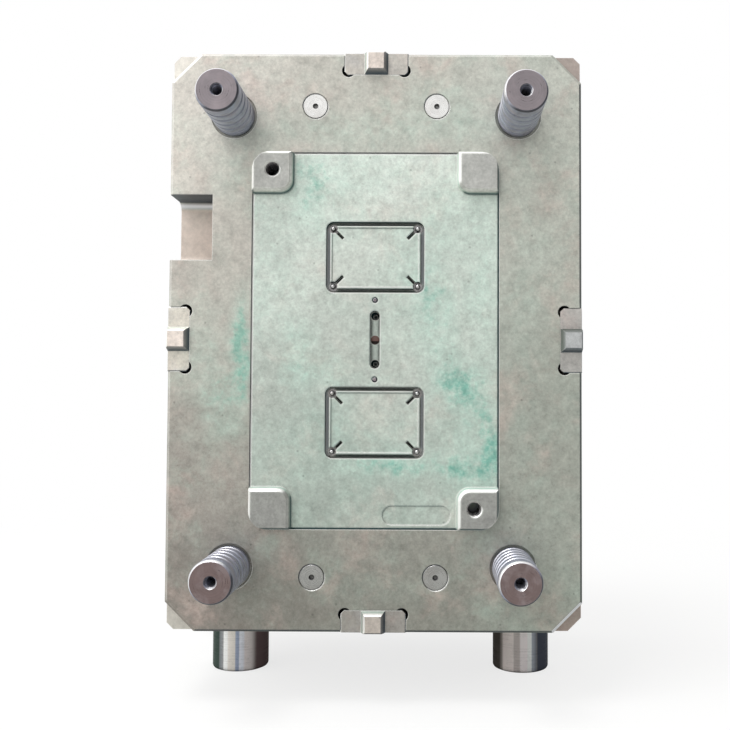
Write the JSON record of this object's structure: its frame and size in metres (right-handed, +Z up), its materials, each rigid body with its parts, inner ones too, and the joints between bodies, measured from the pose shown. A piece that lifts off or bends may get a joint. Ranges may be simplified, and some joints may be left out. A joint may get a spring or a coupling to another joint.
{
  "type": "injection mould half",
  "caption": "Moving half of an injection mould: core plate and insert, guide and return pins, side locks, ejector box with a sliding ejector set, clamp plate and round feet.",
  "frame": {"origin": "centre of the box's lower face, on the surface that the feet stand on", "axes": "+Z up along the plates' height, +Y from the parting face to the clamp plate, +X to the right seen from the front"},
  "size_m": [0.3, 0.222, 0.395],
  "materials": {
    "plate_steel": "ground, with a thin rust-proofing film",
    "insert_steel": "ground tool steel with pale green rust-proofing spray",
    "lock_steel": "ground hardened steel",
    "pin_steel": "ground and polished hardened steel",
    "bright_steel": "bright turned steel",
    "oxide_steel": "black oxide",
    "bronze": "turned bronze",
    "brass": "turned brass",
    "spring_paint": "blue lacquered spring steel"
  },
  "bodies": {
    "moving_half": {"core_plate": "plate_steel", "core_insert": "insert_steel", "insert_screws": "oxide_steel", "guide_pin_top_left": "pin_steel", "guide_pin_top_right": "pin_steel", "guide_pin_bottom_left": "pin_steel", "guide_pin_bottom_right": "pin_steel", "side_lock_top": "lock_steel", "side_lock_left": "lock_steel", "side_lock_right": "lock_steel", "side_lock_bottom": "lock_steel", "side_lock_screws": "oxide_steel", "spacer_left": "plate_steel", "spacer_right": "plate_steel", "clamp_plate": "plate_steel", "clamp_screws": "oxide_steel", "support_pillars": "bright_steel", "pillar_screws": "oxide_steel", "stop_buttons": "pin_steel", "ejector_guide_pins": "pin_steel", "core_pins": "bright_steel", "core_pin_plugs": "oxide_steel", "water_plugs": "brass", "foot_left": "bright_steel", "foot_right": "bright_steel", "foot_screws": "oxide_steel", "return_springs": "spring_paint"},
    "ejector_set": {"ejector_retainer_plate": "plate_steel", "ejector_plate": "plate_steel", "ejector_plate_screws": "oxide_steel", "ejector_guide_bushes": "bronze", "return_pins": "pin_steel", "ejector_sleeves": "bright_steel", "gate_ejector_pins": "pin_steel", "sprue_puller": "pin_steel"}
  },
  "joints": [
    {"name": "ejector_stroke", "type": "slide", "parent": "moving_half", "child": "ejector_set", "axis": [0, -1, 0], "range_m": [0, 0.03], "stiffness_N_per_m": 40000, "springref_m": -0.01, "deforming": ["return_springs"]}
  ]
}
